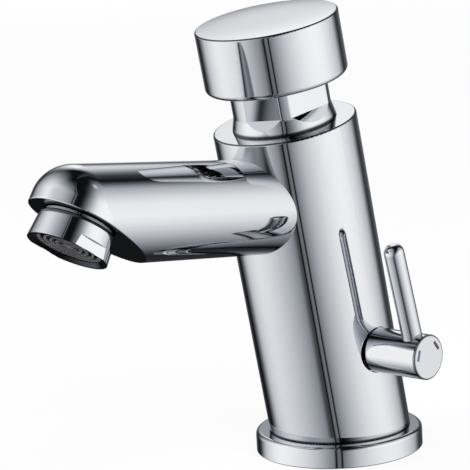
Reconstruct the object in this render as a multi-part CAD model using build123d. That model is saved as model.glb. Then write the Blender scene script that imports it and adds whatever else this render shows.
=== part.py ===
from build123d import *
from math import atan2, cos, degrees, hypot, pi, radians, sin, sqrt
import os

# Push timed mixer tap. Millimetres, +Z up, origin on the deck at the middle of the foot.
# The spout points to -Y and the temperature lever stands on the +X side.
# Heights named along the leaning axis are measured from where that axis crosses the deck.

# Shared clearances
running_fit = 0.05
seat_fit = 0.05
thread_fit = 0.03
end_play = 0.10
cut_overrun = 1.0
edge_break = 0.3

# Body casting
lean_angle = 10.6
axis_offset = 1.87
body_diameter = 45.0
body_shoulder = 27.476
body_rim_radius = 0.6
body_seam_chamfer = 0.35

# Base ring, foot and deck seal
ring_lip = 4.3
ring_height = 6.9
ring_edge_radius = 1.3
ring_outer_wall = 1.45
ring_inner_wall = 0.95
foot_clearance = 0.2
seal_width = 3.4
seal_thickness = 1.6
seal_side_clearance = 0.15

# Deck fixings and inlets, all inside a 35 mm deck hole
stud_spacing = 26.0
stud_hole_diameter = 6.0
stud_hole_depth = 12.0
inlet_spacing = 12.0
inlet_thread_diameter = 9.2
inlet_thread_depth = 13.0
inlet_step = 0.2
inlet_land = 3.68
inlet_passage_diameter = 5.6

# Spout
spout_height = 79.45
spout_rise_angle = 7.54
spout_diameter = 29.4
spout_straight = 109.54
spout_pivot_rise = 3.07
spout_braze_gap = 0.03
spout_wall = 3.5
spout_root_wall = 8.5
spout_core_setback = 25.5
spout_throat_diameter = 14.0
spout_throat_step = 0.7
spout_throat_setback = 9.5
spigot_diameter = 15.0
spigot_depth = 4.9
spigot_bore_diameter = 11.0
mouth_tilt = 35.35
mouth_drop = 0.9
mouth_rim_radius = 0.4
mouth_bore_depth = 11.0
nozzle_length = 3.4
nozzle_wall = 2.4
nozzle_setback = 2.82

# Aerator
aerator_top_diameter = 22.9
aerator_taper = 0.75
aerator_length = 8.5
aerator_gap = 0.35
aerator_wall = 1.02
aerator_shoulder_radius = 1.3
aerator_lip_height = 0.85
aerator_lip_thickness = 0.35
aerator_lip_reach = 0.63
aerator_rim_wall = 1.0
aerator_flat_depth = 1.2
aerator_flat_height = 3.3
aerator_flat_angle = 81.0
gasket_width = 2.0
gasket_thickness = 0.9
regulator_thickness = 1.3
regulator_hole_diameter = 1.6
regulator_hole_circle = 12.0
regulator_hole_count = 10
screen_thickness = 0.3
screen_pitch = 1.7
screen_opening = 1.2
basket_wall = 0.9
basket_ring_width = 0.7
basket_ring_shares = (0.92, 0.745, 0.57, 0.395)
basket_ring_height = 0.5
basket_spoke_width = 0.6
basket_spoke_height = 0.6
basket_boss_diameter = 3.0

# Bonnet nut, the neck between body and button
neck_diameter = 30.6
neck_height = 15.1
neck_flare_step = 1.0
neck_flare_taper = 0.15
neck_flare_straight = 1.1
neck_flare_height = 4.5
neck_blend_radius = 1.2
neck_top_chamfer = 0.5
neck_front_flat_depth = 1.2
neck_front_flat_angle = 17.7
neck_side_flat_depth = 2.0
neck_side_flat_angle = 82.7
neck_flat_rise = 4.9
neck_scoop_drop = 3.4
neck_flat_blend_radius = 1.5
bonnet_thread_step = 0.5
bonnet_thread_length = 7.2
bonnet_ring_groove_drop = 1.0
bonnet_roof_height = 3.9
bonnet_roof_thickness = 2.0
bonnet_roof_hole_clearance = 0.5
guide_wall = 3.4
spindle_ring_clearance = 0.15
spindle_ring_pocket_depth = 2.6

# O-ring cords and grooves
small_cord = 1.5
spindle_cord = 2.0
stem_cord = 1.7
ring_groove_width = 2.0

# Push button
button_diameter = 44.6
button_height = 19.45
button_gap = 13.5
button_stroke = 8.0
button_top_radius = 0.6
button_skirt_radius = 1.6
button_wall = 2.7
button_cavity_radius = 1.5
button_crown = 3.25
button_boss_wall = 4.5
button_boss_clearance = 1.1
button_socket_depth = 6.2

# Timed cartridge
cartridge_land_diameter = 26.8
cartridge_bore_clearance = 0.1
cartridge_waist_step = 1.1
cartridge_wall = 2.95
cartridge_lower_land = 10.0
cartridge_upper_land = 7.3
cartridge_flange_height = 4.0
cartridge_ring_inset = 3.4
port_diameter = 6.0
port_count = 6
port_rise = 16.0
seat_thickness = 4.4
seat_lip_width = 0.7
seat_lip_height = 0.2
spring_pocket_clearance = 0.2
spring_seat_overlap = 0.2
spring_pocket_depth = 1.0
washer_overlap = 1.9
washer_side_clearance = 1.2
washer_thickness = 2.9
washer_nut_width = 8.0
washer_nut_height = 3.0
spindle_tail_diameter = 5.0
spindle_tail_spare = 0.7
spindle_lower_diameter = 6.0
spindle_upper_diameter = 8.0
piston_height = 7.0
piston_drop = 4.8
piston_groove_depth = 1.0
piston_groove_height = 3.0
piston_spring_pocket_depth = 1.5
needle_diameter = 1.1
needle_orifice_clearance = 0.1
needle_orifice_wall = 0.25
needle_embed = 1.2
needle_tip_spare = 0.5
wire_diameter = 1.4
coil_mean_diameter = 11.4
coil_pitch = 3.9
coil_end_closeness_share = 0.5

# Water chamber below the cartridge
chamber_side_step = 0.2
chamber_floor_clearance = 0.65
throat_diameter = 8.0
throat_length = 1.7

# Lever and mixing valve, with lengths along +X from the leaning axis
lever_height = 36.3
hub_diameter = 14.12
hub_projection = 19.9
hub_recess_clearance = 0.25
hub_inner_gap = 0.2
hub_end_wall = 1.6
hub_edge_radius = 0.35
rod_diameter = 6.38
rod_inset = 4.96
rod_tilt = 3.57
rod_reach = 37.4
rod_dome_radius = 2.6
rod_thread_diameter = 5.0
rod_seat_depth = 1.56
rod_dimple_depth = 0.65
stem_diameter = 6.0
stem_collar_step = 0.45
stem_collar_thickness = 1.8
drum_diameter = 12.9
drum_wall = 1.65
drum_end_wall = 3.6
drum_end_spare = 0.5
drum_port_diameter = 4.6
drum_port_spread = 22.0
drum_outlet_length = 6.0
drum_outlet_width = 10.4
tang_width = 3.0
tang_length = 9.0
tang_height = 2.4
gland_shoulder = 0.5
gland_length = 4.4
gland_slot_width = 1.6
gland_slot_depth = 1.2
gland_groove_inset = 1.2

# Temperature marks on the end of the hub
mark_length = 3.4
mark_width = 1.05
mark_depth = 0.5
mark_radius = 4.9
mark_angle = 63.0
mark_gap = 0.02

# Check valves and strainers
check_side_fit = 0.1
check_wall = 1.2
check_seat_height = 2.0
check_seat_overlap = 0.5
check_poppet_clearance = 0.4
check_poppet_height = 1.4
check_guide_diameter = 1.6
strainer_thickness = 0.8
strainer_hole_diameter = 1.4
strainer_hole_circle = 4.6
strainer_hole_count = 6

# Top of the body, above where the spout's axis crosses the leaning axis
spout_slope = sin(radians(spout_rise_angle)) / cos(radians(spout_rise_angle))
spout_meeting = (spout_height - axis_offset * spout_slope) / (
    cos(radians(lean_angle)) - spout_slope * sin(radians(lean_angle))
)
body_top = spout_meeting + body_shoulder

# Base ring and foot, worked inwards from the ring's rim
body_radius = body_diameter / 2
ring_radius = body_radius + ring_lip
seal_groove_outer = ring_radius - ring_outer_wall
seal_outer = seal_groove_outer - seal_side_clearance
seal_inner = seal_outer - seal_width
seal_groove_inner = seal_inner - seal_side_clearance
ring_bore = seal_groove_inner - ring_inner_wall
foot_radius = ring_bore - foot_clearance

# Lever side, worked outwards along X from the mixing drum
drum_radius = drum_diameter / 2
drum_chamber = drum_radius + running_fit
drum_inner = drum_radius - drum_wall
drum_low = -(inlet_spacing + drum_port_diameter) / 2 - drum_wall - drum_end_spare
drum_high = (inlet_spacing + drum_port_diameter) / 2 + drum_end_spare + drum_end_wall
gland_inner = drum_high + stem_collar_thickness + 2 * end_play
gland_outer = gland_inner + gland_length
gland_radius = drum_chamber + gland_shoulder
collar_radius = drum_radius - stem_collar_step
stem_radius = stem_diameter / 2
hub_radius = hub_diameter / 2
hub_inner_end = body_radius + hub_inner_gap
hub_end = body_radius + hub_projection
hub_bore_end = hub_end - hub_end_wall
rod_station = hub_end - rod_inset
rod_seat = hub_radius - rod_seat_depth
rod_tip = stem_radius - rod_dimple_depth

# Inlets, worked up from the deck to the drum
check_pocket = inlet_thread_diameter / 2 - inlet_step
check_pocket_top = lever_height * cos(radians(lean_angle)) - drum_chamber - inlet_land
check_pocket_depth = check_pocket_top - inlet_thread_depth
check_radius = check_pocket - check_side_fit
passage_shift = lever_height * sin(radians(lean_angle)) - axis_offset
passage_rise = lever_height * cos(radians(lean_angle)) - check_pocket_top
passage_angle = degrees(atan2(passage_shift, passage_rise))
passage_length = hypot(passage_shift, passage_rise)

# Cartridge, worked up from the mixing drum along the leaning axis
chamber_floor = lever_height + drum_chamber + throat_length
spindle_bottom = chamber_floor + chamber_floor_clearance + button_stroke
washer_bottom = spindle_bottom + spindle_tail_spare + washer_nut_height
washer_top = washer_bottom + washer_thickness
seat_bottom = washer_top + end_play + seat_lip_height
seat_top = seat_bottom + seat_thickness
cartridge_bottom = seat_bottom - seat_fit - cartridge_flange_height
sleeve_top = body_top - bonnet_thread_length - end_play
piston_top = sleeve_top - piston_drop
piston_bottom = piston_top - piston_height

# Cartridge radii, worked outwards from the spring
spring_pocket = (coil_mean_diameter + wire_diameter) / 2 + spring_pocket_clearance
seat_hole = (coil_mean_diameter - wire_diameter) / 2 - spring_seat_overlap
washer_radius = seat_hole + seat_lip_width + washer_overlap
flange_bore = washer_radius + washer_side_clearance
chamber_radius = flange_bore + chamber_side_step
needle_radius = spring_pocket + needle_orifice_wall + needle_orifice_clearance + needle_diameter / 2
land_radius = cartridge_land_diameter / 2
sleeve_inner = land_radius - cartridge_wall
piston_radius = sleeve_inner - running_fit
cartridge_bore = land_radius + cartridge_bore_clearance
bonnet_thread = cartridge_bore + bonnet_thread_step

# Bonnet and button, worked up from the top of the body
nut_bottom = sleeve_top + end_play / 2
cavity_top = body_top + bonnet_roof_height
roof_top = cavity_top + bonnet_roof_thickness
guide_floor = roof_top + spindle_ring_pocket_depth
neck_top = body_top + neck_height
spindle_radius = spindle_upper_diameter / 2
guide_bore = spindle_radius + running_fit
guide_radius = guide_bore + guide_wall
ring_pocket = guide_bore + spindle_cord + spindle_ring_clearance
button_bottom = body_top + button_gap
button_top = button_bottom + button_height
boss_bottom = neck_top + button_stroke + button_boss_clearance
socket_top = boss_bottom + button_socket_depth
socket_radius = spindle_radius + thread_fit

# Spout, worked outwards from where its axis crosses the leaning axis
spout_crossing = (spout_meeting * sin(radians(lean_angle)) - axis_offset) / cos(radians(spout_rise_angle))
spout_radius = spout_diameter / 2
spout_root = spout_crossing + body_radius
spout_core = spout_radius - spout_wall
spout_throat = spout_throat_diameter / 2
spout_core_start = spout_root + spout_root_wall
spout_core_end = spout_straight - spout_core_setback
spout_throat_end = spout_straight - spout_throat_setback
spout_bend_angle = 90 - mouth_tilt + spout_rise_angle
spigot_start = spout_root - spigot_depth
aerator_top = aerator_top_diameter / 2
aerator_mouth = aerator_top + aerator_taper
nozzle_radius = aerator_top - aerator_wall - thread_fit
mouth_bore = nozzle_radius - nozzle_wall
beyond_all = body_top + spout_straight

# Aerator levels, measured out of the spout's mouth
gasket_low = nozzle_length + seat_fit
basket_low = gasket_low + gasket_thickness + seat_fit
aerator_high = aerator_gap + aerator_length
lip_high = aerator_high - aerator_lip_height
lip_low = lip_high - aerator_lip_thickness
basket_high = lip_low - seat_fit
basket_ring_low = basket_high - basket_ring_height
basket_spoke_low = basket_ring_low - basket_spoke_height
basket_radius = nozzle_radius - seat_fit
insert_radius = basket_radius - basket_wall - seat_fit

# Frames that carry the parts
leaning = Pos(0, axis_offset, 0) * Rot(lean_angle, 0, 0)
sideways = leaning * Pos(0, 0, lever_height) * Rot(0, 90, 0)
rod_frame = sideways * Pos(0, 0, rod_station) * Rot(0, 0, rod_tilt) * Rot(0, -90, 0)
along_spout = Pos(0, 0, spout_height) * Rot(90 - spout_rise_angle, 0, 0)
past_bend = along_spout * Pos(0, spout_pivot_rise, spout_straight) * Rot(spout_bend_angle, 0, 0)
mouth = along_spout * Pos(0, 0, spout_straight) * Rot(spout_bend_angle, 0, 0) * Pos(0, 0, mouth_drop)
aerator = mouth * Pos(0, -nozzle_setback, 0)


# Round bar along Z from low to high
def bar(radius, low, high):
    return Pos(0, 0, low) * Cylinder(radius, high - low, align=(Align.CENTER, Align.CENTER, Align.MIN))


# Round tube along Z from low to high
def tube(outer, inner, low, high):
    return bar(outer, low, high) - bar(inner, low - cut_overrun, high + cut_overrun)


# Solid of revolution about Z from its half outline of radius and height
def turned(*outline):
    return revolve(Plane.XZ * make_face(Polyline(*outline, close=True)), Axis.Z)


# O-ring lying square to Z
def o_ring(inner_radius, cord, height):
    return Pos(0, 0, height) * Torus(inner_radius + cord / 2, cord / 2)


# Copies of a shape set evenly about Z
def around(shape, count, phase=0):
    return [Rot(0, 0, phase + 360 * step / count) * shape for step in range(count)]


# Everything above a level plane
def above(level):
    half_space = Box(beyond_all, beyond_all, beyond_all, align=(Align.CENTER, Align.CENTER, Align.MIN))
    return Pos(0, 0, level) * half_space


# Leaning casting on a round foot, with its bores and waterways
def make_body():
    shell = bar(body_radius, -body_radius, body_top)
    shell = fillet(shell.edges().group_by(Axis.Z)[-1], body_rim_radius)
    casting = (leaning * shell) & above(ring_height)
    casting = chamfer(casting.edges().group_by(Axis.Z)[0], body_seam_chamfer)
    casting += bar(foot_radius, 0, ring_height + cut_overrun)

    casting -= leaning * bar(bonnet_thread, sleeve_top, body_top + cut_overrun)
    casting -= leaning * bar(cartridge_bore, cartridge_bottom, sleeve_top + cut_overrun)
    casting -= leaning * bar(chamber_radius, chamber_floor, cartridge_bottom + cut_overrun)
    casting -= leaning * bar(throat_diameter / 2, lever_height, chamber_floor + cut_overrun)

    recess = hub_radius + hub_recess_clearance
    casting -= sideways * bar(recess, gland_outer + seat_fit, body_radius + cut_overrun)
    casting -= sideways * bar(gland_radius + thread_fit, gland_inner, gland_outer + cut_overrun)
    casting -= sideways * bar(drum_chamber, drum_low - 2 * end_play, gland_inner + cut_overrun)

    casting -= along_spout * bar(spigot_diameter / 2 + seat_fit, spigot_start, spout_core_start)
    casting -= along_spout * bar(spigot_bore_diameter / 2, spout_crossing, spigot_start + cut_overrun)

    for side in (-1, 1):
        inlet = bar(inlet_thread_diameter / 2, -cut_overrun, inlet_thread_depth)
        inlet += bar(check_pocket, 0, check_pocket_top)
        passage = bar(inlet_passage_diameter / 2, -inlet_passage_diameter / 2, passage_length)
        inlet += Pos(0, 0, check_pocket_top) * Rot(passage_angle, 0, 0) * passage
        casting -= Pos(side * inlet_spacing / 2, 0, 0) * inlet
        stud = bar(stud_hole_diameter / 2, -cut_overrun, stud_hole_depth)
        casting -= Pos(0, side * stud_spacing / 2, 0) * stud
    return casting


# Flange ring clamped between the body and the deck, grooved below for its seal
def make_base_ring():
    ring = bar(ring_radius, 0, ring_height)
    ring = fillet(ring.edges().group_by(Axis.Z)[-1], ring_edge_radius)
    ring = chamfer(ring.edges().group_by(Axis.Z)[0], edge_break)
    ring -= bar(ring_bore, -cut_overrun, ring_height + cut_overrun)
    return ring - tube(seal_groove_outer, seal_groove_inner, -cut_overrun, seal_thickness)


def make_deck_seal():
    return tube(seal_outer, seal_inner, 0, seal_thickness)


# Outer skin of the spout: rounded outside the bend, mitred inside it
def spout_skin():
    pivot_point = along_spout * Pos(0, spout_pivot_rise, spout_straight)
    past_mitre = pivot_point * Rot(spout_bend_angle / 2, 0, 0) * above(0)
    straight = along_spout * bar(spout_radius, spout_crossing, spout_straight) - past_mitre
    half_disc = Circle(spout_radius) & Pos(0, spout_pivot_rise) * Rectangle(
        spout_diameter, spout_diameter, align=(Align.CENTER, Align.MIN)
    )
    pivot = Axis((0, spout_pivot_rise, spout_straight), (1, 0, 0))
    elbow = along_spout * revolve(Pos(0, 0, spout_straight) * half_disc, pivot, spout_bend_angle)
    turned_end = past_bend * Pos(0, -spout_pivot_rise, 0) * bar(spout_radius, 0, spout_diameter) & past_mitre
    return straight + elbow + turned_end


# Cast spout, brazed to the body on a spigot, with its mouth cut slanting and a threaded nozzle
def make_spout():
    skin = spout_skin() - mouth * above(0)
    mouth_face = skin.faces().sort_by(Axis(mouth.position, mouth.z_axis.direction))[-1]
    skin = fillet(mouth_face.edges(), mouth_rim_radius)
    skin -= leaning * bar(body_radius + spout_braze_gap, 0, body_top)
    skin += along_spout * bar(spigot_diameter / 2, spigot_start + seat_fit, spout_core_start)
    skin += aerator * bar(nozzle_radius, -cut_overrun, nozzle_length)

    core = bar(spigot_bore_diameter / 2, spigot_start - cut_overrun, spout_core_start + cut_overrun)
    core += bar(spout_core, spout_core_start, spout_core_end)
    throat_rise = spout_core - spout_throat_step - spout_throat
    core += Pos(0, throat_rise, 0) * bar(spout_throat, spout_core_start, spout_throat_end)
    skin -= along_spout * core
    return skin - aerator * bar(mouth_bore, -mouth_bore_depth, nozzle_length + cut_overrun)


# Aerator ring: a tapered cup with a rounded shoulder, screwed over the nozzle
def make_aerator_housing():
    bore = nozzle_radius + thread_fit
    lip = bore - aerator_lip_reach
    cup = turned((0, aerator_gap), (aerator_top, aerator_gap),
                 (aerator_mouth, aerator_high), (0, aerator_high))
    cup = fillet(cup.edges().group_by(Axis.Z)[0], aerator_shoulder_radius)
    cup -= turned((0, 0), (bore, 0), (bore, lip_low), (lip, lip_low), (lip, lip_high),
                  (aerator_mouth - aerator_rim_wall, aerator_high), (0, aerator_high))
    flat = Pos(aerator_mouth - aerator_flat_depth, 0, aerator_high - aerator_flat_height) * Box(
        aerator_mouth, 2 * aerator_mouth, aerator_length, align=(Align.MIN, Align.CENTER, Align.MIN)
    )
    for cut in around(flat, 2, 90 - aerator_flat_angle):
        cup -= cut
    return cup


def make_aerator_gasket():
    return tube(basket_radius, basket_radius - gasket_width, gasket_low, gasket_low + gasket_thickness)


# Moulded cage: an outer wall, flush concentric rings and spokes behind them
def make_aerator_basket():
    cage = tube(basket_radius, basket_radius - basket_wall, basket_low, basket_high)
    for share in basket_ring_shares:
        radius = share * basket_radius
        cage += tube(radius, radius - basket_ring_width, basket_ring_low, basket_high)
    spoke = Pos(0, 0, basket_spoke_low) * Box(
        2 * basket_radius - basket_wall,
        basket_spoke_width,
        basket_spoke_height + basket_ring_height / 2,
        align=(Align.CENTER, Align.CENTER, Align.MIN),
    )
    cage += spoke
    cage += Rot(0, 0, 90) * spoke
    return cage + bar(basket_boss_diameter / 2, basket_spoke_low, basket_high)


# Flat net of square openings above the cage's spokes
def make_aerator_screen():
    reach = int(insert_radius / screen_pitch)
    places = [(across * screen_pitch, along * screen_pitch)
              for across in range(-reach, reach + 1) for along in range(-reach, reach + 1)]
    corner = screen_opening / sqrt(2)
    inside = [place for place in places if hypot(*place) + corner < insert_radius - basket_ring_width / 2]
    net = Circle(insert_radius) - Locations(*inside) * Rectangle(screen_opening, screen_opening)
    return extrude(Pos(0, 0, basket_spoke_low - seat_fit - screen_thickness) * net, screen_thickness)


# Disc with a ring of jets that limits the flow
def make_flow_regulator():
    low = basket_low + seat_fit
    disc = bar(insert_radius, low, low + regulator_thickness)
    jet = bar(regulator_hole_diameter / 2, low - cut_overrun, low + regulator_thickness + cut_overrun)
    for hole in around(Pos(regulator_hole_circle / 2, 0, 0) * jet, regulator_hole_count):
        disc -= hole
    return disc


# Neck: flared foot, round shank and spanner flats that run out in slanting scoops
def make_bonnet_nut():
    neck = neck_diameter / 2
    flare = neck + neck_flare_step
    thread = bonnet_thread - thread_fit
    nut = turned(
        (0, nut_bottom),
        (thread, nut_bottom),
        (thread, body_top),
        (flare - edge_break, body_top),
        (flare, body_top + edge_break),
        (flare - neck_flare_taper, body_top + neck_flare_straight),
        (neck, body_top + neck_flare_height),
        (neck, neck_top),
        (0, neck_top),
    )
    shoulder = [edge for edge in nut.edges().filter_by(GeomType.CIRCLE)
                if body_top + edge_break < edge.center().Z < neck_top - neck_top_chamfer]
    nut = fillet(shoulder, neck_blend_radius)
    nut = chamfer(nut.edges().group_by(Axis.Z)[-1], neck_top_chamfer)

    ledge = body_top + neck_flat_rise
    for depth, angle in ((neck_front_flat_depth, neck_front_flat_angle),
                         (neck_side_flat_depth, neck_side_flat_angle)):
        flat = neck - depth
        flat_cut = Polyline(
            (flat, ledge),
            (flat, neck_top + cut_overrun),
            (2 * flare, neck_top + cut_overrun),
            (2 * flare, ledge - (2 * flare - flat) * neck_scoop_drop / (flare - flat)),
            close=True,
        )
        cutter = extrude(Plane.XZ * make_face(flat_cut), flare, both=True)
        for cut in around(cutter, 2, angle - 90):
            nut -= cut
    uprights = [edge for face in nut.faces().filter_by(GeomType.PLANE) for edge in face.edges().filter_by(Axis.Z)]
    nut = fillet(uprights, neck_flat_blend_radius)

    nut -= bar(sleeve_inner, nut_bottom - cut_overrun, cavity_top)
    roof_hole = spindle_radius + bonnet_roof_hole_clearance
    nut -= bar(roof_hole, cavity_top - cut_overrun, roof_top + cut_overrun)
    nut -= bar(ring_pocket, roof_top, guide_floor + cut_overrun)
    nut -= bar(guide_radius + seat_fit, guide_floor, neck_top + cut_overrun)
    needle_hole = bar(needle_diameter / 2 + thread_fit, cavity_top - cut_overrun, cavity_top + needle_embed)
    nut -= Pos(needle_radius, 0, 0) * needle_hole
    groove_top = body_top - bonnet_ring_groove_drop
    groove_bottom = groove_top - ring_groove_width
    return nut - tube(bonnet_thread, bonnet_thread - small_cord - seat_fit, groove_bottom, groove_top)


def make_bonnet_o_ring():
    height = body_top - bonnet_ring_groove_drop - ring_groove_width / 2
    return o_ring(bonnet_thread - small_cord - seat_fit / 2, small_cord, height)


def make_spindle_guide():
    return tube(guide_radius, guide_bore, guide_floor + seat_fit, neck_top - edge_break)


def make_spindle_o_ring():
    return o_ring(guide_bore, spindle_cord, roof_top + spindle_cord / 2 + seat_fit)


# Levels of the two o-rings, one in each land of the sleeve
def cartridge_ring_levels():
    return (cartridge_bottom + cartridge_lower_land - cartridge_ring_inset,
            sleeve_top - cartridge_upper_land + cartridge_ring_inset)


# Timing cylinder with ports below the piston and lands that seal in the casting
def make_cartridge_sleeve():
    sleeve = bar(land_radius, cartridge_bottom + seat_fit, sleeve_top)
    waist = land_radius - cartridge_waist_step
    waist_low = cartridge_bottom + cartridge_lower_land
    sleeve -= tube(cartridge_bore, waist, waist_low, sleeve_top - cartridge_upper_land)
    sleeve -= bar(flange_bore, cartridge_bottom - cut_overrun, sleeve_top)
    sleeve -= bar(sleeve_inner, cartridge_bottom + cartridge_flange_height, sleeve_top + cut_overrun)
    for level in cartridge_ring_levels():
        low = level - ring_groove_width / 2
        sleeve -= tube(cartridge_bore, cartridge_bore - small_cord - seat_fit, low, low + ring_groove_width)
    port = Pos(0, 0, cartridge_bottom + port_rise) * Rot(0, 90, 0) * bar(port_diameter / 2, 0, land_radius)
    for hole in around(port, port_count):
        sleeve -= hole
    return sleeve


def make_cartridge_o_rings():
    inner = cartridge_bore - small_cord - seat_fit / 2
    return Compound([o_ring(inner, small_cord, level) for level in cartridge_ring_levels()])


# Seat disc with a raised lip below and a pocket for the spring above
def make_valve_seat():
    seat = tube(sleeve_inner - seat_fit, seat_hole, seat_bottom, seat_top)
    seat -= bar(spring_pocket, seat_top - spring_pocket_depth, seat_top + cut_overrun)
    return seat + tube(seat_hole + seat_lip_width, seat_hole, seat_bottom - seat_lip_height, seat_bottom)


def make_seat_washer():
    return tube(washer_radius, spindle_tail_diameter / 2 + seat_fit, washer_bottom, washer_top)


def make_washer_nut():
    nut = extrude(RegularPolygon(washer_nut_width / 2, 6, major_radius=False), washer_nut_height)
    hole = bar(spindle_tail_diameter / 2 + thread_fit, -cut_overrun, washer_nut_height + cut_overrun)
    return Pos(0, 0, washer_bottom - washer_nut_height) * (nut - hole)


# Stepped spindle from the washer nut up into the button's boss
def make_valve_spindle():
    tail = spindle_tail_diameter / 2
    top = socket_top - end_play
    return turned(
        (0, spindle_bottom),
        (tail - edge_break, spindle_bottom),
        (tail, spindle_bottom + edge_break),
        (tail, washer_top),
        (spindle_lower_diameter / 2, washer_top),
        (spindle_lower_diameter / 2, piston_top),
        (spindle_radius, piston_top),
        (spindle_radius, top - edge_break),
        (spindle_radius - edge_break, top),
        (0, top),
    )


# Piston with a lip seal groove, a spring pocket below and the metering orifice
def make_timing_piston():
    piston = tube(piston_radius, spindle_lower_diameter / 2 + seat_fit, piston_bottom, piston_top)
    groove_low = (piston_bottom + piston_top - piston_groove_height) / 2
    groove_high = groove_low + piston_groove_height
    piston -= tube(sleeve_inner, piston_radius - piston_groove_depth, groove_low, groove_high)
    piston -= bar(spring_pocket, piston_bottom - cut_overrun, piston_bottom + piston_spring_pocket_depth)
    orifice = needle_diameter / 2 + needle_orifice_clearance
    drill = bar(orifice, piston_bottom - cut_overrun, piston_top + cut_overrun)
    return piston - Pos(needle_radius, 0, 0) * drill


# Lip seal, open towards the timing chamber
def make_piston_seal():
    inner = piston_radius - piston_groove_depth + seat_fit
    web = (piston_radius + inner) / 2
    middle = (piston_bottom + piston_top) / 2
    low = middle - piston_groove_height / 2 + seat_fit
    high = middle + piston_groove_height / 2 - seat_fit
    return turned((inner, low), (web, low), (piston_radius, high), (web, high), (web, middle), (inner, high))


def make_metering_needle():
    tip = piston_bottom - button_stroke - needle_tip_spare
    return Pos(needle_radius, 0, 0) * bar(needle_diameter / 2, tip, cavity_top + needle_embed - seat_fit)


# Two tangent arcs that leave one point along one heading and reach another along the next
def two_arcs(start, leave, end, arrive):
    chord = end - start
    headings = leave + arrive
    reach = chord.dot(headings)
    spread = 4 - headings.dot(headings)
    arm = (sqrt(reach * reach + spread * chord.dot(chord)) - reach) / spread
    joint = (start + leave * arm + end - arrive * arm) / 2
    middle = end - arrive * arm - start - leave * arm
    return Edge.make_tangent_arc(start, leave, joint), Edge.make_tangent_arc(joint, middle, end)


# Compression spring: one wire whose turns close up towards both ends
def make_return_spring():
    low = seat_top - spring_pocket_depth + seat_fit + wire_diameter / 2
    high = piston_bottom + piston_spring_pocket_depth - seat_fit - wire_diameter / 2
    coil_turns = round((high - low) / coil_pitch)
    radius = coil_mean_diameter / 2
    closing = coil_end_closeness_share

    def point(turn):
        share = turn / coil_turns
        rise = share - closing * sin(2 * pi * share) / (2 * pi)
        return Vector(radius * cos(2 * pi * turn), radius * sin(2 * pi * turn), low + (high - low) * rise)

    def heading(turn):
        climb = (high - low) / coil_turns * (1 - closing * cos(2 * pi * turn / coil_turns))
        girth = 2 * pi * radius
        return Vector(-girth * sin(2 * pi * turn), girth * cos(2 * pi * turn), climb).normalized()

    quarters = [step / 4 for step in range(4 * coil_turns + 1)]
    edges = [arc for first, last in zip(quarters, quarters[1:])
             for arc in two_arcs(point(first), heading(first), point(last), heading(last))]

    samples = [point(step / 24) for step in range(24 * coil_turns + 1)]
    nearest = min((here - there).length
                  for index, here in enumerate(samples) for there in samples[index + 12:])
    print("return spring: least gap to itself", round(nearest - wire_diameter, 2))
    section = Plane(origin=point(0), z_dir=heading(0)) * Circle(wire_diameter / 2)
    return sweep(section, path=Wire(edges))


# Deep cap with a hollow skirt round the neck and a boss on the spindle
def make_push_button():
    roof = button_top - button_crown
    cap = bar(button_diameter / 2, button_bottom, button_top)
    cap = fillet(cap.edges().group_by(Axis.Z)[-1], button_top_radius)
    cap = fillet(cap.edges().group_by(Axis.Z)[0], button_skirt_radius)
    hollow = bar(button_diameter / 2 - button_wall, button_bottom - cut_overrun, roof)
    cap -= fillet(hollow.edges().group_by(Axis.Z)[-1], button_cavity_radius)
    cap += bar(socket_radius + button_boss_wall, boss_bottom, roof + button_crown / 2)
    return cap - bar(socket_radius, boss_bottom - cut_overrun, socket_top)


# Inlay bar on the end of the hub, square to its own radius
def mark_shape(side, grow):
    face = RectangleRounded(mark_width + 2 * grow, mark_length + 2 * grow, mark_width / 4)
    place = Rot(0, 0, side * mark_angle) * Pos(-mark_radius, 0, hub_end - mark_depth)
    return place * extrude(face, mark_depth)


# Hub that turns in the body's side recess, cross-drilled for the rod
def make_lever_hub():
    hub = bar(hub_radius, hub_inner_end, hub_end)
    hub = fillet(hub.edges().group_by(Axis.Z)[-1], hub_edge_radius)
    hub = chamfer(hub.edges().group_by(Axis.Z)[0], edge_break)
    hub -= bar(stem_radius + seat_fit, hub_inner_end - cut_overrun, hub_bore_end)
    for side in (-1, 1):
        hub -= mark_shape(side, mark_gap)
    hub = sideways * hub
    hub -= rod_frame * bar(rod_thread_diameter / 2 + thread_fit, 0, hub_radius)
    return hub - rod_frame * bar(rod_diameter / 2 + seat_fit, rod_seat, hub_diameter)


# Round lever rod with a domed tip, screwed in until it bears on the stem
def make_lever_rod():
    rod = bar(rod_diameter / 2, rod_seat + seat_fit, rod_reach)
    rod = fillet(rod.edges().group_by(Axis.Z)[-1], rod_dome_radius)
    return rod + bar(rod_thread_diameter / 2, rod_tip, hub_diameter)


# Stem from the drum's slot out into the hub, dimpled where the rod bears on it
def make_mixing_stem():
    collar_low = drum_high + end_play
    stem = bar(stem_radius, collar_low, hub_bore_end - end_play)
    stem += bar(collar_radius, collar_low, collar_low + stem_collar_thickness)
    tang = Pos(0, 0, collar_low - tang_height) * Box(
        tang_width, tang_length, 2 * tang_height, align=(Align.CENTER, Align.CENTER, Align.MIN)
    )
    stem += tang & bar(collar_radius, 0, collar_low + stem_collar_thickness)
    dimple = bar(rod_thread_diameter / 2 + seat_fit, rod_tip - seat_fit, hub_radius)
    return sideways * stem - rod_frame * dimple


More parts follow.
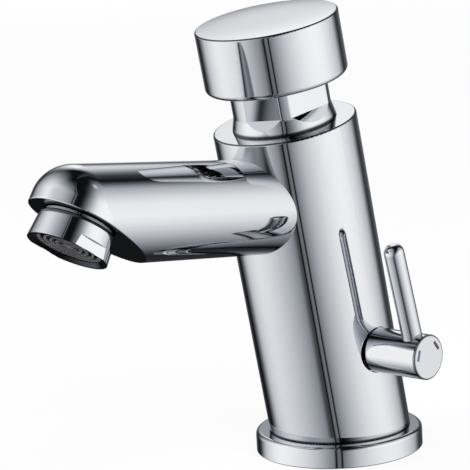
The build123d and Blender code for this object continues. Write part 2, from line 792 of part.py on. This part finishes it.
# Hollow drum whose side ports open one inlet as they close the other
def make_mixing_drum():
    drum = bar(drum_radius, drum_low, drum_high)
    drum -= bar(drum_inner, drum_low - cut_overrun, drum_high - drum_end_wall)
    slot = Pos(0, 0, drum_high - tang_height) * Box(
        tang_width + 2 * seat_fit, 2 * drum_diameter, 2 * tang_height,
        align=(Align.CENTER, Align.CENTER, Align.MIN),
    )
    drum -= slot
    port = Rot(0, 90, 0) * bar(drum_port_diameter / 2, 0, drum_diameter)
    for side in (-1, 1):
        bearing = passage_angle - lean_angle + side * drum_port_spread
        drum -= Pos(0, 0, side * inlet_spacing / 2) * Rot(0, 0, bearing) * port
    return drum - Box(
        drum_diameter, drum_outlet_width, drum_outlet_length, align=(Align.MAX, Align.CENTER, Align.CENTER)
    )


# Nut that holds the stem in the body, with a seal groove and a driver slot
def make_gland_nut():
    nut = tube(gland_radius, stem_radius + running_fit, gland_inner, gland_outer)
    low = gland_inner + gland_groove_inset
    nut -= bar(stem_radius + stem_cord + seat_fit, low, low + ring_groove_width)
    slot = Pos(0, 0, gland_outer - gland_slot_depth) * Box(
        2 * gland_radius + cut_overrun, gland_slot_width, gland_length,
        align=(Align.CENTER, Align.CENTER, Align.MIN),
    )
    return nut - slot


def make_stem_o_ring():
    height = gland_inner + gland_groove_inset + ring_groove_width / 2
    return o_ring(stem_radius + running_fit / 2, stem_cord, height)


# One-way valve pushed into an inlet, its poppet on a guide pin
def make_check_valve():
    low = inlet_thread_depth + strainer_thickness + 2 * seat_fit
    high = inlet_thread_depth + check_pocket_depth - seat_fit
    seat_high = low + check_seat_height
    shell = check_radius - check_wall
    poppet = shell - check_poppet_clearance
    valve = tube(check_radius, shell, low, high)
    valve += tube(check_radius - check_wall / 2, poppet - check_seat_overlap, low, seat_high)
    valve += Pos(0, 0, high) * Box(
        2 * check_radius - check_wall, check_guide_diameter, check_seat_height,
        align=(Align.CENTER, Align.CENTER, Align.MAX),
    )
    valve += bar(check_guide_diameter / 2, seat_high, high)
    return valve + bar(poppet, seat_high + end_play, seat_high + end_play + check_poppet_height)


# Perforated disc that keeps grit out of an inlet
def make_strainer():
    low = inlet_thread_depth + seat_fit
    disc = bar(check_radius, low, low + strainer_thickness)
    hole = bar(strainer_hole_diameter / 2, low - cut_overrun, low + strainer_thickness + cut_overrun)
    disc -= hole
    for cut in around(Pos(strainer_hole_circle / 2, 0, 0) * hole, strainer_hole_count):
        disc -= cut
    return disc


# Every piece under its name, in its frame
def make_parts():
    cold = Pos(inlet_spacing / 2, 0, 0)
    hot = Pos(-inlet_spacing / 2, 0, 0)
    return {
        "body": make_body(),
        "base_ring": make_base_ring(),
        "deck_seal": make_deck_seal(),
        "spout": make_spout(),
        "aerator_housing": aerator * make_aerator_housing(),
        "aerator_gasket": aerator * make_aerator_gasket(),
        "aerator_basket": aerator * make_aerator_basket(),
        "aerator_screen": aerator * make_aerator_screen(),
        "flow_regulator": aerator * make_flow_regulator(),
        "bonnet_nut": leaning * make_bonnet_nut(),
        "bonnet_o_ring": leaning * make_bonnet_o_ring(),
        "spindle_guide": leaning * make_spindle_guide(),
        "spindle_o_ring": leaning * make_spindle_o_ring(),
        "cartridge_sleeve": leaning * make_cartridge_sleeve(),
        "cartridge_o_rings": leaning * make_cartridge_o_rings(),
        "valve_seat": leaning * make_valve_seat(),
        "metering_needle": leaning * make_metering_needle(),
        "return_spring": leaning * make_return_spring(),
        "push_button": leaning * make_push_button(),
        "valve_spindle": leaning * make_valve_spindle(),
        "seat_washer": leaning * make_seat_washer(),
        "washer_nut": leaning * make_washer_nut(),
        "timing_piston": leaning * make_timing_piston(),
        "piston_seal": leaning * make_piston_seal(),
        "lever_hub": make_lever_hub(),
        "lever_rod": rod_frame * make_lever_rod(),
        "cold_mark": sideways * mark_shape(1, 0),
        "hot_mark": sideways * mark_shape(-1, 0),
        "mixing_stem": make_mixing_stem(),
        "mixing_drum": sideways * make_mixing_drum(),
        "gland_nut": sideways * make_gland_nut(),
        "stem_o_ring": sideways * make_stem_o_ring(),
        "cold_check_valve": cold * make_check_valve(),
        "hot_check_valve": hot * make_check_valve(),
        "cold_strainer": cold * make_strainer(),
        "hot_strainer": hot * make_strainer(),
    }


os.makedirs("parts", exist_ok=True)
for name, shape in make_parts().items():
    export_step(shape, f"parts/{name}.step")
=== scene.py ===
import math

import bpy
from mathutils import Matrix, Vector

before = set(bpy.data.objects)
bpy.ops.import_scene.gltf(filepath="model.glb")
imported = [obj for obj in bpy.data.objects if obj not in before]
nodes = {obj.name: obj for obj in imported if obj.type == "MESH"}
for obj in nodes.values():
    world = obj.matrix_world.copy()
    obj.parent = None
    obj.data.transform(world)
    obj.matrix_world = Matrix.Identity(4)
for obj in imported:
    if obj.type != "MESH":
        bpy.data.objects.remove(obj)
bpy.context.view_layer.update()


# Turn in the horizontal plane from +X, and height above the horizon, both in degrees
def direction(turn, height):
    turn, height = math.radians(turn), math.radians(height)
    flat = math.cos(height)
    return Vector((flat * math.cos(turn), flat * math.sin(turn), math.sin(height)))


# Sets a node's inputs, where a value is a number, a colour, a vector or another socket
def feed(tree, node, inputs):
    for name, value in inputs.items():
        if isinstance(value, bpy.types.NodeSocket):
            tree.links.new(value, node.inputs[name])
        else:
            node.inputs[name].default_value = value


def addNode(tree, kind, inputs=None, **properties):
    made = tree.nodes.new(kind)
    for name, value in properties.items():
        setattr(made, name, value)
    feed(tree, made, inputs or {})
    return made


def calculate(tree, operation, *values):
    made = addNode(tree, "ShaderNodeMath", dict(enumerate(values)), operation=operation)
    return made.outputs[0]


def vectorMath(tree, operation, *values, output="Vector"):
    made = addNode(tree, "ShaderNodeVectorMath", dict(enumerate(values)), operation=operation)
    return made.outputs[output]


# Several values added, multiplied or compared in turn
def combine(tree, operation, first, *others):
    for other in others:
        first = calculate(tree, operation, first, other)
    return first


# A value less a share of itself
def lessened(tree, value, share):
    return calculate(tree, "MULTIPLY", value, calculate(tree, "SUBTRACT", 1.0, share))


# Eased step from the low level at the first value to the high level at the second
def easedStep(tree, value, fromValue, toValue, low=0.0, high=1.0):
    step = {"Value": value, "From Min": fromValue, "From Max": toValue, "To Min": low, "To Max": high}
    return addNode(tree, "ShaderNodeMapRange", step, interpolation_type="SMOOTHSTEP").outputs["Result"]


# Soft hump of height 1 round a value
def hump(tree, value, middle, width):
    away = calculate(tree, "DIVIDE", calculate(tree, "SUBTRACT", value, middle), width)
    return calculate(tree, "EXPONENT", combine(tree, "MULTIPLY", away, away, -1.0))


# Colour between two others, each its red, green and blue levels or a socket. A Mix node takes its
# amount as input 0, numbers as 2 and 3, and colours as 6 and 7.
def blend(tree, amount, first, second):
    first, second = [
        colour if isinstance(colour, bpy.types.NodeSocket) else (*colour, 1)
        for colour in (first, second)
    ]
    ends = {0: amount, 6: first, 7: second}
    return addNode(tree, "ShaderNodeMix", ends, data_type="RGBA").outputs[2]


def raised(tree, heights, distance, strength=1.0):
    relief = {"Height": heights, "Distance": distance, "Strength": strength}
    return addNode(tree, "ShaderNodeBump", relief).outputs[0]


# Camera, set so that the tap's outlines fall where they do in the photograph
cameraView = {
    "target": (0.0, -0.010, 0.075),
    "azimuth": 43.87,
    "elevation": 10.51,
    "roll": -3.24,
    "distance": 0.7185,
    "right": -0.02288,
    "up": -0.00381,
    "sensor": 36.0,
    "focalPixels": 2284.0,
    "frameWidth": 470.0,
    "clip": (0.01, 50.0),
}


def addCamera(view):
    azimuth, elevation = math.radians(view["azimuth"]), math.radians(view["elevation"])
    back = Vector((
        math.sin(azimuth) * math.cos(elevation),
        -math.cos(azimuth) * math.cos(elevation),
        math.sin(elevation),
    ))
    level = Vector((0, 0, 1)).cross(back).normalized()
    tilt = Matrix.Rotation(math.radians(view["roll"]), 3, back)
    right, up = tilt @ level, tilt @ back.cross(level)
    lens = bpy.data.cameras.new("photoCamera")
    lens.sensor_width = view["sensor"]
    lens.lens = view["focalPixels"] * view["sensor"] / view["frameWidth"]
    lens.clip_start, lens.clip_end = view["clip"]
    holder = bpy.data.objects.new("photoCamera", lens)
    bpy.context.scene.collection.objects.link(holder)
    place = Vector(view["target"]) + back * view["distance"]
    place += right * view["right"] + up * view["up"]
    turned = Matrix((right, up, back)).transposed().to_4x4()
    holder.matrix_world = Matrix.Translation(place) @ turned
    bpy.context.scene.camera = holder


addCamera(cameraView)
bpy.context.scene.view_settings.view_transform = "Standard"
print("camera placed")


# Studio that the metal mirrors. Turns, heights, widths and softness are in degrees, and a level of 1
# is white. A card's from and to are turns from its own middle, and a slant moves that end with height.
studio = {
    "plainLight": 0.62,
    "gapLevel": 0.007,
    "fadeTurn": 20.0,
    "rightBox": {
        "turn": 26.0, "level": 1.36, "fadeBefore": 1.06, "fadeAfter": 1.51,
        "from": -91.8, "fromSoft": 60.0, "fromSlant": 0.78,
        "to": 46.5, "toSoft": 22.5, "toSlant": -0.22,
        "foot": -1.5, "footSoft": 70.0, "footLevel": 0.21,
        "top": 8.7, "topSoft": 61.9,
    },
    "leftBox": {
        "turn": 225.0, "level": 1.3, "fadeBefore": 2.34, "fadeAfter": 0.99,
        "from": -66.6, "fromSoft": 26.3, "fromSlant": -0.36,
        "to": 83.2, "toSoft": 11.2, "toSlant": 0.49,
        "foot": -12.2, "footSoft": 55.4, "footLevel": 0.03,
        "top": 32.9, "topSoft": 52.3,
    },
    "backPaper": {
        "turn": 124.0, "level": 1.74, "fadeBefore": 0.0, "fadeAfter": 3.99,
        "from": -29.3, "fromSoft": 51.3, "fromSlant": 0.07,
        "to": 10.7, "toSoft": 34.5, "toSlant": -0.13,
        "foot": 30.0, "footSoft": 54.6, "footLevel": 0.02,
        "top": 35.7, "topSoft": 20.4,
    },
    "tableEdge": {"height": 10.3, "width": 9.2, "depth": 0.86},
    "darkFlag": {"turn": 259.0, "height": 40.0, "width": 25.0, "tall": 6.5, "depth": 0.95},
    "smallCard": {"turn": 44.5, "height": 53.0, "width": 4.6, "level": 0.75},
    "glows": (
        {"turn": 100.0, "width": 9.0, "level": 0.05},
        {"turn": 310.0, "width": 4.0, "level": 0.07},
    ),
    "cameraStripes": (306.0, 314.0),
    "stripeWidth": 1.6,
    "brightLevel": 1.35,
    "brightTint": (1.03, 1.0, 0.98),
    "darkTint": (0.93, 1.0, 1.09),
    "plainTint": (1, 1, 1),
}


def addStudio(setup):
    world = bpy.data.worlds.new("studio")
    bpy.context.scene.world = world
    world.use_nodes = True
    tree = world.node_tree
    tree.nodes.clear()
    ray = addNode(tree, "ShaderNodeTexCoord").outputs["Generated"]
    rise = addNode(tree, "ShaderNodeSeparateXYZ", {"Vector": ray}).outputs["Z"]
    height = calculate(tree, "DEGREES", calculate(tree, "ARCSINE", rise))

    def turnFrom(middle):
        ahead, aside = [
            vectorMath(tree, "DOT_PRODUCT", ray, direction(turn, 0), output="Value")
            for turn in (middle, middle + 90)
        ]
        return calculate(tree, "DEGREES", calculate(tree, "ARCTAN2", aside, ahead))

    def humpAtTurn(middle, width):
        return hump(tree, turnFrom(middle), 0.0, width)

    # A lit card: brightest in its middle, fading to its foot and top, with soft and slanting ends
    def card(box):
        turn = turnFrom(box["turn"])
        cosine = calculate(tree, "COSINE", calculate(tree, "RADIANS", turn))
        facing = calculate(tree, "MAXIMUM", cosine, 0.0)
        middle = setup["fadeTurn"]
        fade = easedStep(tree, turn, -middle, middle, box["fadeBefore"], box["fadeAfter"])

        def slanted(slant):
            return calculate(tree, "SUBTRACT", turn, calculate(tree, "MULTIPLY", height, slant))

        start, end = slanted(box["fromSlant"]), slanted(box["toSlant"])
        return combine(
            tree, "MULTIPLY",
            calculate(tree, "POWER", facing, fade),
            box["level"],
            easedStep(tree, height, box["foot"] - box["footSoft"], box["foot"], box["footLevel"]),
            easedStep(tree, height, box["top"] + box["topSoft"], box["top"]),
            easedStep(tree, start, box["from"], box["from"] + box["fromSoft"]),
            easedStep(tree, end, box["to"] + box["toSoft"], box["to"]),
        )

    edge, flag, small = setup["tableEdge"], setup["darkFlag"], setup["smallCard"]
    dip = calculate(tree, "MULTIPLY", hump(tree, height, edge["height"], edge["width"]), edge["depth"])
    paper = lessened(tree, card(setup["backPaper"]), dip)
    light = combine(tree, "ADD", card(setup["rightBox"]), card(setup["leftBox"]), paper)
    shadow = combine(
        tree, "MULTIPLY",
        humpAtTurn(flag["turn"], flag["width"]),
        hump(tree, height, flag["height"], flag["tall"]),
        flag["depth"],
    )
    light = lessened(tree, light, shadow)
    towards = direction(small["turn"], small["height"])
    near = vectorMath(tree, "DOT_PRODUCT", ray, towards, output="Value")
    away = calculate(tree, "DEGREES", calculate(tree, "ARCCOSINE", near))
    spots = [calculate(tree, "MULTIPLY", hump(tree, away, 0.0, small["width"]), small["level"])]
    for glow in setup["glows"]:
        spot = humpAtTurn(glow["turn"], glow["width"])
        spots.append(calculate(tree, "MULTIPLY", spot, glow["level"]))
    light = combine(tree, "ADD", light, setup["gapLevel"], *spots)
    for stripe in setup["cameraStripes"]:
        light = lessened(tree, light, humpAtTurn(stripe, setup["stripeWidth"]))

    # Metal sees the studio, the camera sees white, and all else gets one plain level
    path = addNode(tree, "ShaderNodeLightPath").outputs
    mirrored = calculate(tree, "MAXIMUM", path["Is Glossy Ray"], path["Is Transmission Ray"])
    levels = {0: mirrored, 2: setup["plainLight"], 3: light}
    seen = addNode(tree, "ShaderNodeMix", levels, data_type="FLOAT").outputs[0]
    strength = calculate(tree, "MAXIMUM", seen, path["Is Camera Ray"])
    bright = calculate(tree, "DIVIDE", light, setup["brightLevel"])
    cast = blend(tree, bright, setup["darkTint"], setup["brightTint"])
    cast = blend(tree, mirrored, setup["plainTint"], cast)
    shade = addNode(tree, "ShaderNodeBackground", {"Color": cast, "Strength": strength})
    addNode(tree, "ShaderNodeOutputWorld", {"Surface": shade.outputs[0]})


addStudio(studio)

# Two soft lamps for what isn't metal, and for the shadow on the floor
lamps = {
    "rightLamp": {"turn": 335.0, "height": 42.0, "distance": 1.4, "size": 0.9, "power": 10.5},
    "leftLamp": {"turn": 225.0, "height": 35.0, "distance": 1.4, "size": 0.9, "power": 7.0},
}


def addLamp(name, setup):
    light = bpy.data.lights.new(name, "AREA")
    light.size, light.energy = setup["size"], setup["power"]
    holder = bpy.data.objects.new(name, light)
    bpy.context.scene.collection.objects.link(holder)
    away = direction(setup["turn"], setup["height"])
    holder.rotation_euler = away.to_track_quat("Z", "Y").to_euler()
    holder.location = Vector(cameraView["target"]) + away * setup["distance"]
    holder.visible_glossy = False


for name, setup in lamps.items():
    addLamp(name, setup)

# Pale floor that keeps the tap's shadow and runs out into the white background
floorPaper = {
    "radius": 2.4,
    "sides": 96,
    "colour": (0.92, 0.92, 0.92, 1),
    "ownWhite": 0.88,
    "fadeFrom": 0.7,
    "fadeTo": 2.2,
    "grain": 900.0,
    "grainDetail": 2.0,
    "grainHeight": 0.0001,
    "grainStrength": 0.05,
}


def addFloor(setup):
    bpy.ops.mesh.primitive_circle_add(vertices=setup["sides"], radius=setup["radius"], fill_type="NGON")
    floor = bpy.context.object
    floor.name = "floorPaper"
    paper = bpy.data.materials.new("floorPaper")
    paper.use_nodes = True
    tree = paper.node_tree
    tree.nodes.clear()
    place = addNode(tree, "ShaderNodeTexCoord").outputs["Object"]
    grain = {"Vector": place, "Scale": setup["grain"], "Detail": setup["grainDetail"]}
    grain = addNode(tree, "ShaderNodeTexNoise", grain).outputs["Fac"]
    relief = raised(tree, grain, setup["grainHeight"], setup["grainStrength"])
    matt = addNode(tree, "ShaderNodeBsdfDiffuse", {"Color": setup["colour"], "Normal": relief})
    white = addNode(tree, "ShaderNodeEmission", {"Strength": 1.0})
    path = addNode(tree, "ShaderNodeLightPath").outputs
    own = calculate(tree, "MULTIPLY", path["Is Camera Ray"], setup["ownWhite"])
    sheet = addNode(tree, "ShaderNodeMixShader", {0: own, 1: matt.outputs[0], 2: white.outputs[0]})
    distance = vectorMath(tree, "LENGTH", place, output="Value")
    gone = combine(
        tree, "MAXIMUM",
        easedStep(tree, distance, setup["fadeFrom"], setup["fadeTo"]),
        path["Is Glossy Ray"],
        path["Is Transmission Ray"],
    )
    clear = addNode(tree, "ShaderNodeBsdfTransparent")
    finish = addNode(tree, "ShaderNodeMixShader", {0: gone, 1: sheet.outputs[0], 2: clear.outputs[0]})
    addNode(tree, "ShaderNodeOutputMaterial", {"Surface": finish.outputs[0]})
    floor.data.materials.append(paper)


addFloor(floorPaper)
print("studio, lamps and floor ready")


def newMaterial(name):
    made = bpy.data.materials.new(name)
    made.use_nodes = True
    return made, made.node_tree, made.node_tree.nodes["Principled BSDF"]


noiseSpread = (0.3, 0.7)  # nearly all of the noise lies between these


# Noise over the piece, as a value between two limits
def mottle(tree, scale, low=0.0, high=1.0, detail=3.0):
    place = addNode(tree, "ShaderNodeTexCoord").outputs["Object"]
    noise = {"Vector": place, "Scale": scale, "Detail": detail}
    noise = addNode(tree, "ShaderNodeTexNoise", noise).outputs["Fac"]
    start, end = noiseSpread
    spread = {"Value": noise, "From Min": start, "From Max": end, "To Min": low, "To Max": high}
    return addNode(tree, "ShaderNodeMapRange", spread).outputs["Result"]


# Bright plate over polished brass. Its details are painted shade, and the pairs give where that shade
# starts and where it is full, as the cosine between the surface and the detail's line, or for
# outwardTurn the way out from that line.
chrome = {
    "tint": (0.645, 0.668, 0.692),
    "tintDeep": (0.628, 0.652, 0.678),
    "tintScale": 22.0,
    "roughLow": 0.008,
    "roughHigh": 0.022,
    "hazeScale": 420.0,
    "hazeDetail": 5.0,
    "waveScale": 70.0,
    "waveDetail": 1.0,
    "waveHeight": 0.0000012,
    # Colour of the painted shade and painted dark reflections
    "shade": (0.028, 0.031, 0.036),
    "rimDepth": 0.85,
    "rimOutside": (0.25, 0.5),
    "rimInside": (0.99, 0.95),
    "seamDepth": 0.95,
    "insideDepth": 0.90,
    "faceTurn": (0.85, 0.97),
    "outwardTurn": (0.75, 0.45),
    "crown": 1100.0,
}

# Lines that the details follow: a point on each, in metres, and its direction
lean, mouthTilt = math.radians(10.6), math.radians(35.35)
leaningLine = {"point": (0.0, 0.00187, 0.0), "along": (0.0, -math.sin(lean), math.cos(lean))}
uprightLine = {"point": (0.0, 0.0, 0.0), "along": (0.0, 0.0, 1.0)}
leverLine = {"point": (0.0, -0.0048074, 0.0356806), "along": (1.0, 0.0, 0.0)}
mouthLine = {
    "point": (0.0, -0.107022, 0.091163),
    "along": (0.0, -math.sin(mouthTilt), -math.cos(mouthTilt)),
}

# Details of the plated pieces, all painted shade: in seams between parts, on fine rims, round the hub's
# face, on the spout's mouth face and inside the aerator's rim. A seam is its place along its line and
# its width. An edge and an inside are distances from the line, where the painted shade starts and where
# it is full. All are in metres.
details = {
    "push_button": {"line": leaningLine, "rim": True, "crown": True},
    "body": {"line": leaningLine, "rim": True, "seamLine": uprightLine, "seam": (0.00715, 0.00030)},
    "bonnet_nut": {"line": leaningLine, "seamLine": leaningLine, "seam": (0.11045, 0.00045)},
    "lever_hub": {
        "line": leverLine, "rim": True, "edge": (0.00645, 0.00665),
        "seamLine": leverLine, "seam": (0.04192, 0.00022),
    },
    "spout": {"line": mouthLine, "face": True},
    "aerator_housing": {"line": mouthLine, "inside": (0.0121, 0.0119)},
}


# Where a point of the surface is, from the line's own point
def placeFrom(tree, line):
    place = addNode(tree, "ShaderNodeTexCoord").outputs["Object"]
    return vectorMath(tree, "SUBTRACT", place, line["point"])


# The way straight out from a line to the surface
def outFrom(tree, line):
    place = placeFrom(tree, line)
    return vectorMath(tree, "SUBTRACT", place, vectorMath(tree, "PROJECT", place, line["along"]))


# Painted shade and painted dark reflections in the plate's colour: in its seams, on its fine rims, round
# the hub's face, on the spout's mouth face and inside the aerator's rim
def shading(tree, setup, detail):
    line = detail["line"]
    normal = addNode(tree, "ShaderNodeTexCoord").outputs["Normal"]
    facing = vectorMath(tree, "DOT_PRODUCT", normal, line["along"], output="Value")
    parts = []
    # Painted dark reflection along the fine rims
    if "rim" in detail:
        outside = easedStep(tree, facing, *setup["rimOutside"])
        inside = easedStep(tree, facing, *setup["rimInside"])
        parts.append(combine(tree, "MULTIPLY", outside, inside, setup["rimDepth"]))
    # Painted shade in a thin line round the hub's face
    if "edge" in detail:
        reach = vectorMath(tree, "LENGTH", outFrom(tree, line), output="Value")
        edge = easedStep(tree, reach, *detail["edge"], 0.0, setup["rimDepth"])
        outside = easedStep(tree, facing, *setup["rimOutside"])
        parts.append(calculate(tree, "MULTIPLY", edge, outside))
    # Painted shade in the seams between parts
    if "seam" in detail:
        place, along = placeFrom(tree, detail["seamLine"]), detail["seamLine"]["along"]
        along = vectorMath(tree, "DOT_PRODUCT", place, along, output="Value")
        seam = hump(tree, along, *detail["seam"])
        parts.append(calculate(tree, "MULTIPLY", seam, setup["seamDepth"]))
    # Painted shade on the spout's mouth face
    if "face" in detail:
        parts.append(easedStep(tree, facing, *setup["faceTurn"], 0.0, setup["insideDepth"]))
    # Painted shade inside the aerator's rim
    if "inside" in detail:
        out = outFrom(tree, line)
        away = vectorMath(tree, "NORMALIZE", out)
        outward = vectorMath(tree, "DOT_PRODUCT", normal, away, output="Value")
        reach = vectorMath(tree, "LENGTH", out, output="Value")
        within = easedStep(tree, reach, *detail["inside"], 0.0, setup["insideDepth"])
        inward = easedStep(tree, outward, *setup["outwardTurn"])
        parts.append(calculate(tree, "MULTIPLY", inward, within))
    return combine(tree, "MAXIMUM", *parts)


# Faint haze, a faint blue cast and barely wavy where it was cast. The crown rounds the button's top,
# flat in its middle and falling to its rim.
def makeChrome(name, setup, detail):
    made, tree, shader = newMaterial(name)
    cast = blend(tree, mottle(tree, setup["tintScale"]), setup["tint"], setup["tintDeep"])
    waves = mottle(tree, setup["waveScale"], detail=setup["waveDetail"])
    swell = calculate(tree, "MULTIPLY", waves, setup["waveHeight"])
    # Painted shade from the details darkens the plate's colour
    if detail:
        cast = blend(tree, shading(tree, setup, detail), cast, setup["shade"])
    if "crown" in detail:
        out = outFrom(tree, detail["line"])
        square = vectorMath(tree, "DOT_PRODUCT", out, out, output="Value")
        fall = combine(tree, "MULTIPLY", square, square, setup["crown"])
        swell = calculate(tree, "SUBTRACT", swell, fall)
    haze = mottle(tree, setup["hazeScale"], setup["roughLow"], setup["roughHigh"], setup["hazeDetail"])
    feed(tree, shader, {
        "Metallic": 1.0,
        "Base Color": cast,
        "Roughness": haze,
        "Normal": raised(tree, swell, 1.0),
    })
    return made


finishes = {"polishedChrome": makeChrome("polishedChrome", chrome, {})}
for piece, detail in details.items():
    finishes[piece + "Chrome"] = makeChrome(piece + "Chrome", chrome, detail)

# Turned or drawn metal: fine tool lines round the piece and slight staining
toolMarks = {
    "stainScale": 160.0,
    "hazeScale": 900.0,
    "lineScale": 5200.0,
    "lineWander": 1.5,
    "lineDetail": 2.0,
    "lineHeight": 0.000006,
}
turnedMetals = {
    "turnedBrass": {
        "pale": (0.74, 0.56, 0.27), "deep": (0.60, 0.42, 0.18),
        "roughLow": 0.22, "roughHigh": 0.36,
    },
    # Brass painted nearly black, painted shade for the gland nut that shows only as a sliver in a gap
    "paintedShadeBrass": {
        "pale": (0.060, 0.052, 0.042), "deep": (0.030, 0.026, 0.022),
        "roughLow": 0.40, "roughHigh": 0.55,
    },
    "drawnSteel": {
        "pale": (0.66, 0.67, 0.69), "deep": (0.52, 0.53, 0.55),
        "roughLow": 0.24, "roughHigh": 0.40,
    },
    # Steel painted nearly black, painted shade for the aerator's screen deep in the outlet
    "paintedShadeSteel": {
        "pale": (0.080, 0.080, 0.082), "deep": (0.045, 0.045, 0.047),
        "roughLow": 0.35, "roughHigh": 0.50,
    },
}


def makeTurned(name, setup, marks):
    made, tree, shader = newMaterial(name)
    place = addNode(tree, "ShaderNodeTexCoord").outputs["Object"]
    lines = {
        "Vector": place,
        "Scale": marks["lineScale"],
        "Distortion": marks["lineWander"],
        "Detail": marks["lineDetail"],
    }
    lines = addNode(tree, "ShaderNodeTexWave", lines, bands_direction="Z").outputs["Fac"]
    feed(tree, shader, {
        "Metallic": 1.0,
        "Base Color": blend(tree, mottle(tree, marks["stainScale"]), setup["pale"], setup["deep"]),
        "Roughness": mottle(tree, marks["hazeScale"], setup["roughLow"], setup["roughHigh"]),
        "Normal": raised(tree, lines, marks["lineHeight"]),
    })
    return made


for name, setup in turnedMetals.items():
    finishes[name] = makeTurned(name, setup, toolMarks)

# Rubber and plastics with a fine moulded grain, and gloss enamel run into the marks' slots
moulding = {"stainScale": 240.0, "hazeScale": 1100.0, "grainDetail": 4.0}
enamel = {
    "stainScale": 700.0, "hazeScale": 1500.0, "roughLow": 0.14, "roughHigh": 0.26,
    "grain": 900.0, "grainDetail": 2.0, "grainHeight": 0.00001,
    "coat": {"Coat Weight": 0.25, "Coat Roughness": 0.08},
}
mouldedFinishes = {
    "mouldedRubber": {
        **moulding, "pale": (0.045, 0.045, 0.047), "deep": (0.022, 0.022, 0.023),
        "roughLow": 0.55, "roughHigh": 0.75, "grain": 2600.0, "grainHeight": 0.00002,
    },
    "greyMoulding": {
        **moulding, "pale": (0.36, 0.37, 0.39), "deep": (0.28, 0.29, 0.31),
        "roughLow": 0.32, "roughHigh": 0.46, "grain": 1800.0, "grainHeight": 0.000008,
    },
    "darkMoulding": {
        **moulding, "pale": (0.165, 0.165, 0.170), "deep": (0.110, 0.110, 0.115),
        "roughLow": 0.34, "roughHigh": 0.48, "grain": 1800.0, "grainHeight": 0.000008,
    },
    "whiteMoulding": {
        **moulding, "pale": (0.84, 0.84, 0.81), "deep": (0.74, 0.74, 0.71),
        "roughLow": 0.30, "roughHigh": 0.44, "grain": 1500.0, "grainHeight": 0.000008,
    },
    "blueInlay": {**enamel, "pale": (0.045, 0.125, 0.27), "deep": (0.028, 0.085, 0.20)},
    "redInlay": {**enamel, "pale": (0.060, 0.008, 0.011), "deep": (0.030, 0.004, 0.006)},
}


def makeMoulded(name, setup):
    made, tree, shader = newMaterial(name)
    grain = mottle(tree, setup["grain"], detail=setup["grainDetail"])
    feed(tree, shader, {
        "Base Color": blend(tree, mottle(tree, setup["stainScale"]), setup["pale"], setup["deep"]),
        "Roughness": mottle(tree, setup["hazeScale"], setup["roughLow"], setup["roughHigh"]),
        "Normal": raised(tree, grain, setup["grainHeight"]),
        **setup.get("coat", {}),
    })
    return made


for name, setup in mouldedFinishes.items():
    finishes[name] = makeMoulded(name, setup)
print(len(finishes), "finishes made")

# Finish for each slot that the pieces were packed with, and for the pieces that have their own
slotFinishes = {
    "chrome": "polishedChrome",
    "brass": "turnedBrass",
    "steel": "drawnSteel",
    "rubber": "mouldedRubber",
    "grey_plastic": "greyMoulding",
    "white_plastic": "whiteMoulding",
    "blue_enamel": "blueInlay",
    "red_enamel": "redInlay",
}
pieceFinishes = {
    # The gland nut and the aerator's screen take near-black finishes, painted shade in a gap and deep in
    # the outlet
    "gland_nut": "paintedShadeBrass",
    "aerator_screen": "paintedShadeSteel",
    "aerator_basket": "darkMoulding",
    **{piece: piece + "Chrome" for piece in details},
}


def dressNodes():
    for name, piece in nodes.items():
        for slot in piece.material_slots:
            packed = slot.material.name.split(".")[0]
            slot.material = finishes[pieceFinishes.get(name) or slotFinishes[packed]]


dressNodes()
print("finishes on all pieces")
